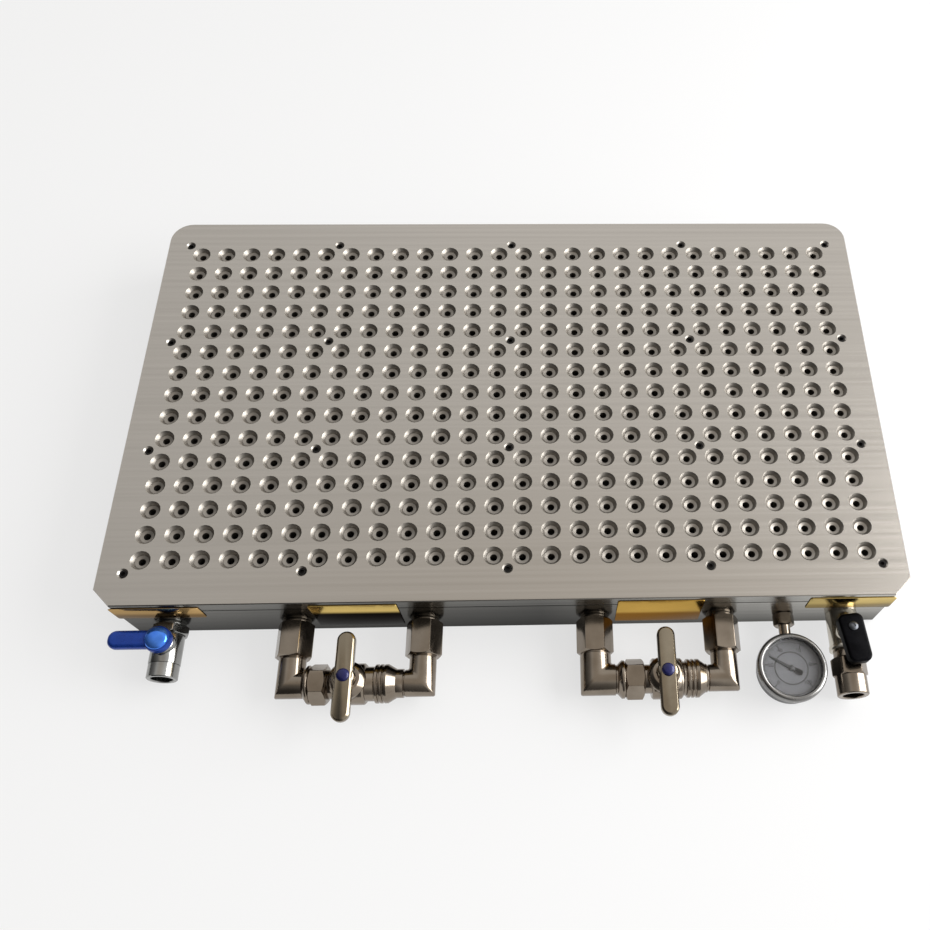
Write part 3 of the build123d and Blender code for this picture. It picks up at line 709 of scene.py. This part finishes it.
# %% The perforated plate
FRONT_CUT, BACK_ROUND = 11.0, 15.0
BROKEN_EDGE = 0.6
EDGE_ZONE = 16.0  # no hole lies this near the outside
SIDEWAYS, FLAT = 0.3, 0.98  # a normal's upright share: below it a wall, above it a flat face
HOLE_SLOT = 2
plate = bmesh.new()
bmesh.ops.create_grid(plate, x_segments=1, y_segments=1, size=1.0)
bmesh.ops.scale(plate, vec=(half_length, half_width, 1), verts=plate.verts)
bmesh.ops.translate(plate, vec=(0, 0, under_z), verts=plate.verts)
for front, offset, segments in ((True, FRONT_CUT, 1), (False, BACK_ROUND, 8)):
    corners = [v for v in plate.verts if (v.co.y < 0) == front and abs(v.co.x) > half_length - 0.1]
    bmesh.ops.bevel(
        plate,
        geom=corners,
        offset=offset,
        segments=segments,
        profile=0.5,
        affect="VERTICES",
        material=-1,
    )
raised = bmesh.ops.extrude_face_region(plate, geom=list(plate.faces))["geom"]
lifted = [g for g in raised if isinstance(g, bmesh.types.BMVert)]
bmesh.ops.translate(plate, vec=(0, 0, top_z - under_z - BROKEN_EDGE), verts=lifted)
lid = max(plate.faces, key=lambda f: f.calc_center_median().z)
bmesh.ops.recalc_face_normals(plate, faces=plate.faces)
bmesh.ops.inset_region(plate, faces=[lid], thickness=BROKEN_EDGE, depth=BROKEN_EDGE)
flat = [f for f in plate.faces if len(f.verts) > 8]
bmesh.ops.delete(plate, geom=flat, context="FACES_ONLY")
plate = joined(plate, holes, screw_holes)
for height in (top_z, under_z):
    rims = [
        e
        for e in plate.edges
        if len(e.link_faces) == 1 and all(abs(v.co.z - height) < 0.001 for v in e.verts)
    ]
    bmesh.ops.triangle_fill(
        plate, edges=rims, use_beauty=True, use_dissolve=False, normal=(0, 0, 1)
    )
    print("rims at", round(height, 1), len(rims), "edges")
bmesh.ops.recalc_face_normals(plate, faces=plate.faces)
for face in plate.faces:
    middle = face.calc_center_median()
    outside = (
        abs(middle.x) > half_length - EDGE_ZONE or abs(middle.y) > half_width - EDGE_ZONE
    )
    if outside:
        face.material_index = int(abs(face.normal.z) < SIDEWAYS)
    elif abs(face.normal.z) < FLAT:
        face.material_index = HOLE_SLOT
plate_piece = make_piece("perforated_plate", plate, top_metal, "chuck", "top_plate", crisp=25)
plate_piece.data.materials.append(side_metal)
plate_piece.data.materials.append(shaded_hole_metal)

# %% [markdown]
# The twenty cover screws sit below the face, so each shows as a small dark dot. A head is
# turned with a hole in its top for the key.

# %% Cover screws
head_z = top_z - 0.9
screws = copied(
    (
        (0.0, head_z - 2.2),
        (1.5, head_z - 2.0),
        (1.5, head_z),
        (2.1, head_z),
        (2.4, head_z - 0.4),
        (2.4, head_z - 3.6),
        (2.0, head_z - 3.6),
        (2.0, head_z - 17),
        (0.0, head_z - 17),
    ),
    screw_places,
)
bmesh.ops.recalc_face_normals(screws, faces=screws.faces)
make_piece("cover_screw_set", screws, black_steel, "chuck", "cover_screws")

# %% [markdown]
# Each cross-over starts and ends with a hexagonal adaptor in the wall. A thin washer lies
# under it, and its spigot goes into the port. The other fittings start in the same way.


# %% Port adaptors
def centre_of(node):
    """The middle of a solid's box, in millimetres."""
    low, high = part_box(node)
    return (low + high) / 2 / MM


PIPE_Z = 14.0
WALL_Y = -150.0
CROSS_Y = -191.0
ADAPTOR_END = 24.5
SPIGOT = ((-9, 0), (-9, 6.4), (0, 6.4))
LEFT_STEM = centre_of("left_crossover_stem").x
RIGHT_STEM = centre_of("right_crossover_stem").x
RELEASE = centre_of("release_valve_stem")
SUPPLY = centre_of("supply_valve_stem")
GAUGE = centre_of("gauge_case")
print("stems", round(LEFT_STEM, 2), round(RIGHT_STEM, 2), RELEASE, SUPPLY, "gauge", GAUGE)


def from_wall(bm, x):
    """Turns a shape that was made along X so that it stands out of the wall."""
    return stand(bm, (x, WALL_Y, PIPE_Z), -90)


def adaptor(name, x, roll):
    """A spigot with a washer, and a spanner flat."""
    washer = turned((*SPIGOT, (0, 9), (2, 9), (2, 7), (2.2, 0)))
    bar = hexagon(1.8, ADAPTOR_END, 20.4, roll)
    bm = from_wall(joined(washer, bar), x)
    make_piece(name + "_fitting", bm, nickel, "chuck", name, crisp=30)


adaptor("left_crossover_left_adaptor", -135, 4)
adaptor("left_crossover_right_adaptor", -54, 5)
adaptor("right_crossover_left_adaptor", 54, 3)
adaptor("right_crossover_right_adaptor", 135, -4)

# %% [markdown]
# The elbows are machined from bar, with a square, mitred corner. Two turned legs are cut by
# the same slanting plane and welded along it, and the seam gets a small round.


# %% Elbows
WELD = 0.02


def elbow(name, x, side, radius, reach):
    """A leg from the wall and a leg along it, which meet in a mitre."""
    first = -CROSS_Y + WALL_Y - ADAPTOR_END
    mitre = Vector((side, -1, 0)).normalized()
    legs = []
    for length, turn, keep_outer in ((first, 90, False), (reach, 90 - 90 * side, True)):
        leg = turned(
            (
                (-radius - 3, 0),
                (-radius - 3, radius),
                (length - 1.2, radius),
                (length - 0.7, radius - 0.7),
                (length + 2.5, radius - 0.7),
                (length + 2.5, 0),
            ),
            edge=0,
        )
        stand(leg, (0, 0, 0), turn)
        bmesh.ops.bisect_plane(
            leg,
            geom=leg.verts[:] + leg.edges[:] + leg.faces[:],
            plane_co=(0, 0, 0),
            plane_no=mitre,
            dist=0.0001,
            clear_outer=not keep_outer,
            clear_inner=keep_outer,
        )
        legs.append(leg)
    bm = joined(*legs)
    bmesh.ops.remove_doubles(bm, verts=bm.verts, dist=WELD)
    bmesh.ops.recalc_face_normals(bm, faces=bm.faces)
    seam = [e for e in bm.edges if all(abs(v.co.dot(mitre)) < WELD for v in e.verts)]
    bmesh.ops.bevel(
        bm,
        geom=seam,
        offset=1.1,
        segments=3,
        profile=0.5,
        affect="EDGES",
        clamp_overlap=True,
        material=-1,
    )
    stand(bm, (x, CROSS_Y, PIPE_Z))
    make_piece(name + "_bend", bm, nickel, "chuck", name, crisp=30)


elbow("left_crossover_left_elbow", -135, 1, 8.4, 9.8)
elbow("left_crossover_right_elbow", -54, -1, 8.4, 11.0)
elbow("right_crossover_left_elbow", 54, 1, 9.8, 13.0)
elbow("right_crossover_right_elbow", 135, -1, 8.4, 12.0)

# %% [markdown]
# A cross-over valve is a row of turned lengths: a collar, a spanner flat, a neck and the
# barrel with the ball inside. A bonnet with a sloping shoulder stands on the barrel under the
# handle, and a cap with two bands and a wide cone closes the right end.


# %% Cross-over valves
CAP_BAND = 7.8  # the cap's length before its cone


def crossover_valve(side_name, x, collar, hex_start, hex_end, barrel_end, bands, cone):
    """The valve's body and its cap, with the stem at x. Places count from the stem."""
    ring = turned(
        (
            (hex_start - collar, 0),
            (hex_start - collar, 9.0),
            (hex_start - collar * 0.45, 11.9),
            (hex_start - 0.6, 11.9),
            (hex_start + 0.1, 10.9),
            (hex_start + 0.1, 0),
        )
    )
    bar = hexagon(hex_start, hex_end, 22.4, 3)
    outline = [(hex_end - 0.4, 0), (hex_end - 0.4, 9), (-8.5, 9), (-8.5, 11.6), (-7.6, 12.7)]
    outline += [(barrel_end - 1.2, 12.7), (barrel_end, 11.6), (barrel_end, 10.6)]
    cap_start = cone[0] - CAP_BAND
    outline += [(cap_start, 10.6), (cap_start, 0)]
    barrel = turned(outline, edge=0.25)
    bonnet = turned(
        ((5, 0), (5, 11.7), (10.7, 11.7), (14.1, 8.6), (14.3, 8.1), (14.3, 0)),
        upright=True,
        edge=0.2,
    )
    bm = stand(joined(ring, bar, barrel, bonnet), (x, CROSS_Y, PIPE_Z))
    node = side_name + "_crossover_valve_body"
    make_piece(node + "_turned", bm, nickel, "chuck", node, crisp=30)
    outline = [(cap_start - 0.1, 0), (cap_start - 0.1, 11.4), (cap_start + 0.4, 12.0)]
    for band in bands:
        outline += [(band - 0.6, 12.0), (band - 0.3, 11.2), (band + 0.3, 11.2), (band + 0.6, 12.0)]
    outline += [(cone[0], 12.0), (cone[1], 8.9), (cone[2], 8.9), (cone[2], 0)]
    lid = turned(outline, edge=0.15)
    node = side_name + "_crossover_valve_cap"
    stand(lid, (x, CROSS_Y, PIPE_Z))
    make_piece(node + "_turned", lid, nickel, "chuck", node, crisp=30)


crossover_valve("left", LEFT_STEM, 4.0, -23.75, -13.4, 10.4, (18.6, 21.3), (23.75, 29.0, 33.25))
crossover_valve("right", RIGHT_STEM, 5.0, -24.75, -13.1, 11.0, (15.8, 18.4), (21.0, 25.2, 26.25))

# %% [markdown]
# A handle is a flat bar with round ends. A box whose upright edges are bevelled as far as
# they go makes the outline, and a second, smaller bevel round the top gives the soft crown
# that shows as a white band along one side.


# %% Bars with round ends
def rounded_bar(x_low, x_high, width, bottom, top, end_round, crown, crown_steps=5):
    """A flat bar along X with round corners and a crowned top."""
    bm = bmesh.new()
    bmesh.ops.create_cube(bm, size=1.0)
    bmesh.ops.scale(bm, vec=(x_high - x_low, width, top - bottom), verts=bm.verts)
    bmesh.ops.translate(bm, vec=((x_low + x_high) / 2, 0, (bottom + top) / 2), verts=bm.verts)
    upright = [e for e in bm.edges if abs(e.verts[0].co.z - e.verts[1].co.z) > 0.1]
    bmesh.ops.bevel(
        bm,
        geom=upright,
        offset=end_round,
        segments=10,
        profile=0.5,
        affect="EDGES",
        clamp_overlap=True,
        material=-1,
    )
    bmesh.ops.remove_doubles(bm, verts=bm.verts, dist=0.01)
    for height, offset, segments in ((top, crown, crown_steps), (bottom, 0.5, 1)):
        rim = [e for e in bm.edges if all(abs(v.co.z - height) < 0.001 for v in e.verts)]
        bmesh.ops.bevel(
            bm,
            geom=rim,
            offset=offset,
            segments=segments,
            profile=0.5,
            affect="EDGES",
            clamp_overlap=True,
            material=-1,
        )
    return bm


# %% [markdown]
# Each cross-over valve has such a bar across its pipe. A round boss swells from the bar's
# middle, and a navy button sits in it.

# %% Bar handles and their buttons
for side_name, x in (("left", LEFT_STEM), ("right", RIGHT_STEM)):
    body = side_name + "_crossover_handle"
    bar = rounded_bar(-27.5, 27.5, 11.0, 30.4, 35.4, 5.45, 2.7, 1)
    soften(bar, 0.5, segments=2, angle=30)
    boss = turned(
        ((30.4, 0), (30.4, 6.8), (32.8, 6.8), (34.2, 6.2), (35.0, 5.0), (35.0, 0)),
        upright=True,
        edge=0,
    )
    bm = stand(joined(bar, boss), (x, CROSS_Y, 0), 90)
    node = side_name + "_crossover_bar_handle"
    make_piece(node + "_crowned", bm, bar_nickel, body, node, crisp=40)
    button = turned(
        ((34.2, 0), (34.2, 4.0), (36.0, 4.0), (36.9, 3.3), (37.3, 1.9), (37.4, 0)),
        upright=True,
        edge=0,
    )
    node = side_name + "_crossover_handle_button"
    stand(button, (x, CROSS_Y, 0))
    make_piece(node + "_domed", button, navy, body, node, crisp=50)

# %% [markdown]
# The release valve stands at the left end. Its outlet is open, so the turned outline goes
# round the rim and back inside, and the dark bore shows. The supply valve has the same
# bonnet and the same kind of mouth.


# %% Release valve
OPEN_END = ((9.0, 6.5), (9.0, 3.5), (20.0, 3.5), (20.0, 0))  # depths and radii of the mouth


def small_bonnet(stem):
    """The round bonnet round a stem, beside a valve that is made along X."""
    outline = ((4, 0), (4, 7.5), (10.2, 7.5), (10.9, 6.8), (10.9, 0))
    bonnet = turned(outline, upright=True, edge=0.2)
    return stand(bonnet, (WALL_Y - stem.y, 0, 0))


def open_outlet(start, end, radius):
    """A turned length whose end is open: a rim, a threaded mouth and a narrower bore."""
    outline = [(start, 0), (start, radius), (end - 0.5, radius), (end, radius - 0.5)]
    outline += [(end, 7.0), (end - 0.5, 6.5)]
    outline += [(end - depth, inner) for depth, inner in OPEN_END]
    return turned(outline, edge=0)


flange = turned((*SPIGOT, (0, 9), (2.2, 9), (2.2, 0)))
bar = hexagon(2, 8, 21.0, 3)
barrel = turned(((7.8, 0), (7.8, 8.6), (8.4, 9.4), (27, 9.4), (27, 0)), edge=0.3)
bm = from_wall(joined(flange, bar, barrel, small_bonnet(RELEASE)), RELEASE.x)
make_piece("release_valve_barrel", bm, grey_nickel, "chuck", "release_valve_body", crisp=30)
bm = from_wall(open_outlet(27.2, 36.0, 9.2), RELEASE.x)
make_piece("release_valve_mouth", bm, grey_nickel, "chuck", "release_valve_outlet", crisp=30)

# %% [markdown]
# The blue lever is a pressing dipped in plastic: a crowned arm that grows out of a round hub,
# with a domed cap over the stem's nut. The cap's lighter blue is painted light.

# %% Release lever
arm = rounded_bar(-30, 2, 11.5, 27.0, 32.0, 5.2, 2.6)
hub = turned(
    ((27, 0), (27, 8.2), (30.6, 8.2), (31.6, 7.8), (32.0, 7.0), (32.0, 0)), upright=True, edge=0
)
bm = stand(joined(arm, hub), (RELEASE.x, RELEASE.y, 0))
make_piece("release_lever_dipped", bm, deep_blue, "release_lever", "release_valve_lever", crisp=40)
dome = turned(
    ((31.8, 0), (31.8, 7.2), (32.6, 7.0), (33.5, 5.8), (34.1, 3.6), (34.4, 0)),
    upright=True,
    edge=0,
)
stand(dome, (RELEASE.x, RELEASE.y, 0))
make_piece(
    "release_lever_dome", dome, lit_blue, "release_lever", "release_valve_lever_cap", crisp=60
)

# %% [markdown]
# The supply valve at the right end is longer: a smooth pale barrel with a ring, a neck, a
# nut and the open end for the hose.

# %% Supply valve
barrel = turned((*SPIGOT, (0, 10.0), (22, 10.0), (22, 10.6), (25, 10.6), (25, 0)))
bm = from_wall(joined(barrel, small_bonnet(SUPPLY)), SUPPLY.x)
make_piece("supply_valve_barrel", bm, pale_nickel, "chuck", "supply_valve_body", crisp=30)
neck = turned(((24.8, 0), (24.8, 8.6), (42.1, 8.6), (42.1, 0)))
mouth = open_outlet(42.0, 54.0, 9.8)
bm = from_wall(joined(neck, mouth), SUPPLY.x)
make_piece("supply_valve_mouth", bm, nickel, "chuck", "supply_valve_outlet", crisp=30)
bm = from_wall(hexagon(30, 42, 19.4, 6), SUPPLY.x)
make_piece("supply_valve_hexagon", bm, nickel, "chuck", "supply_valve_nut", crisp=25)

# %% [markdown]
# The supply valve's black lever is moulded, with soft corners. It gets a little narrower
# towards its front, and a screw with a hollow in its head holds it.

# %% Supply lever
LEVER_BACK, LEVER_FRONT = -8.6, 22.6
TAPER = 0.12
LEVER_TURN = -83
arm = rounded_bar(LEVER_BACK, LEVER_FRONT, 16.2, 27.0, 34.0, 4.5, 1.8)
for v in arm.verts:
    v.co.y *= 1 - TAPER * (v.co.x - LEVER_BACK) / (LEVER_FRONT - LEVER_BACK)
bm = stand(arm, (SUPPLY.x, SUPPLY.y, 0), LEVER_TURN)
make_piece("supply_lever_moulded", bm, black_grip, "supply_lever", "supply_valve_lever", crisp=40)
screw = turned(
    ((33.5, 0), (33.5, 2.9), (34.5, 2.9), (35.0, 2.2), (35.2, 1.3), (34.7, 1.2), (34.7, 0)),
    upright=True,
    edge=0,
)
stand(screw, (SUPPLY.x, SUPPLY.y, 0))
make_piece(
    "supply_lever_screw_head", screw, screw_metal, "supply_lever", "supply_valve_lever_screw"
)

# %% [markdown]
# The gauge faces up. A drawn black case carries a bright rolled rim, which holds the window.
# A socket with a spanner flat joins the case to the wall.

# %% Gauge case and rim
GAUGE_PLACE = (GAUGE.x, GAUGE.y, 0)
FINE_STEPS = 72  # the gauge's large circles are turned in more steps
case = turned(
    (
        (7, 0),
        (7, 17.6),
        (7.8, 19.4),
        (9.4, 20.3),
        (19.7, 20.3),
        (19.7, 19.3),
        (8.4, 19.3),
        (8.4, 0),
    ),
    upright=True,
    edge=0,
    steps=FINE_STEPS,
)
stand(case, GAUGE_PLACE)
make_piece("gauge_case_drawn", case, case_black, "chuck", "gauge_case")
rim = turned(
    (
        (18.0, 20.35),
        (18.0, 21.6),
        (18.4, 22.0),
        (21.4, 22.0),
        (22.8, 21.4),
        (23.5, 20.2),
        (23.4, 19.2),
        (22.6, 18.5),
        (21.3, 18.3),
        (21.3, 20.35),
        (18.0, 20.35),
    ),
    upright=True,
    edge=0,
    steps=FINE_STEPS,
)
stand(rim, GAUGE_PLACE)
make_piece("gauge_rim_rolled", rim, bezel_metal, "chuck", "gauge_bezel", crisp=45)
socket = turned(((-9, 0), (-9, 4.7), (0, 4.7), (0, 3.7), (20, 3.7), (20, 0)), edge=0.2)
bm = from_wall(joined(socket, hexagon(0, 8, 12.0, 2)), GAUGE.x)
make_piece("gauge_socket_hexagon", bm, nickel, "chuck", "gauge_socket", crisp=30)

# %% [markdown]
# The scale runs clockwise round three quarters of a circle, and every fourth stroke is long.
# The strokes and the two rings are thin solids that lie on the dial like printed ink.


# %% The dial's scale
DIAL_Z = 18.3
INK = 0.04  # its thickness
START_ANGLE, SWEEP, PARTS = 225.0, 270.0, 20
SCALE_RADIUS = 16.6
LONG_STROKE, SHORT_STROKE = (2.2, 0.8), (1.2, 0.4)  # length and width


def flat_box(x, y, length, width, angle):
    """A thin painted stroke that lies on the dial."""
    bm = bmesh.new()
    bmesh.ops.create_cube(bm, size=1.0)
    bmesh.ops.scale(bm, vec=(length, width, INK), verts=bm.verts)
    spin = Matrix.Rotation(angle, 3, "Z")
    bmesh.ops.rotate(bm, cent=(0, 0, 0), matrix=spin, verts=bm.verts)
    bmesh.ops.translate(bm, vec=(x, y, DIAL_Z + INK / 2), verts=bm.verts)
    return bm


strokes = []
for step in range(PARTS + 1):
    angle = math.radians(START_ANGLE - SWEEP * step / PARTS)
    length, width = SHORT_STROKE if step % 4 else LONG_STROKE
    middle = SCALE_RADIUS - length / 2
    x, y = math.cos(angle) * middle, math.sin(angle) * middle
    strokes.append(flat_box(x, y, length, width, angle))
scale = stand(joined(*strokes), GAUGE_PLACE)
make_piece("dial_strokes", scale, ink, "chuck")
rings = []
for radius, width in ((16.9, 0.3), (10.4, 0.9)):
    ring = turned(
        (
            (DIAL_Z, radius - width / 2),
            (DIAL_Z + INK, radius - width / 2),
            (DIAL_Z + INK, radius + width / 2),
            (DIAL_Z, radius + width / 2),
            (DIAL_Z, radius - width / 2),
        ),
        upright=True,
        edge=0,
        steps=FINE_STEPS,
    )
    rings.append(ring)
make_piece("dial_rings", stand(joined(*rings), GAUGE_PLACE), ring_ink, "chuck")

# %% [markdown]
# The numbers are text that is thickened a little and turned into a mesh, one at each long
# stroke.

# %% The dial's numbers
NUMBERS = ("0", "20", "40", "60", "80", "100")
NUMBER_RADIUS = 12.9
for step, words in enumerate(NUMBERS):
    angle = math.radians(START_ANGLE - SWEEP * step / (len(NUMBERS) - 1))
    writing = bpy.data.curves.new("number_" + words, "FONT")
    writing.body = words
    writing.size = 3.4 * MM
    writing.offset = 0.1 * MM
    writing.extrude = INK / 2 * MM
    writing.align_x = "CENTER"
    writing.align_y = "CENTER"
    holder = bpy.data.objects.new("number_" + words, writing)
    bpy.context.scene.collection.objects.link(holder)
    bpy.context.view_layer.update()
    graph = bpy.context.evaluated_depsgraph_get()
    mesh = bpy.data.meshes.new_from_object(holder.evaluated_get(graph))
    bpy.data.objects.remove(holder)
    x = GAUGE.x + math.cos(angle) * NUMBER_RADIUS
    y = GAUGE.y + math.sin(angle) * NUMBER_RADIUS
    spot = Vector((x, y, DIAL_Z + INK / 2))
    mesh.transform(Matrix.Translation(spot * MM))
    mesh.materials.append(ink)
    piece = bpy.data.objects.new("dial_number_" + words, mesh)
    bpy.context.scene.collection.objects.link(piece)
    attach(piece, "chuck")
print("numbers", len(NUMBERS))

# %% [markdown]
# The pointer has a long tapered blade and a short, broad tail, and a boss covers its shaft.

# %% Pointer
POINTER_TURN = 149
TIP_WIDTH = 0.18  # the tip's width as a share of the blade's
blade = bmesh.new()
bmesh.ops.create_cube(blade, size=1.0)
bmesh.ops.scale(blade, vec=(22.5, 2.8, 0.3), verts=blade.verts)
bmesh.ops.translate(blade, vec=(4.1, 0, 18.95), verts=blade.verts)
for v in blade.verts:
    if v.co.x > 0:
        v.co.y *= TIP_WIDTH
tail = rounded_bar(-7.4, -2.6, 3.6, 18.8, 19.1, 0.9, 0.05, 1)
boss = turned(
    ((18.6, 0), (18.6, 1.9), (19.1, 1.9), (19.3, 1.5), (19.4, 0)), upright=True, edge=0, steps=24
)
bm = stand(joined(blade, tail, boss), GAUGE_PLACE, POINTER_TURN)
make_piece("pointer_blade", bm, ink, "pointer", "gauge_pointer")

# %% [markdown]
# The nameplates are thin brass plates with soft corners. The real ones carry the maker's
# words, and here they stay bare.

# %% Nameplates
for number in (1, 2, 3, 4):
    node = "nameplate_" + str(number)
    low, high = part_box(node)
    size = (high - low) / MM
    middle = (high + low) / 2 / MM
    plate = rounded_bar(-size.x / 2, size.x / 2, size.z, 0, size.y, 1.5, 0.25, 2)
    upright = Matrix.Rotation(math.pi / 2, 3, "X")
    bmesh.ops.rotate(plate, cent=(0, 0, 0), matrix=upright, verts=plate.verts)
    bmesh.ops.translate(plate, vec=(middle.x, WALL_Y, middle.z), verts=plate.verts)
    make_piece(node + "_brass", plate, brasses[node], "chuck", node)

# %% [markdown]
# Last come the sizes of the solids and of the dressed part, which have to agree.

# %% Print the sizes and finish
size = {"cad": [list(v) for v in cad_box], "visual": [list(v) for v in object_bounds()]}
print("box", size)
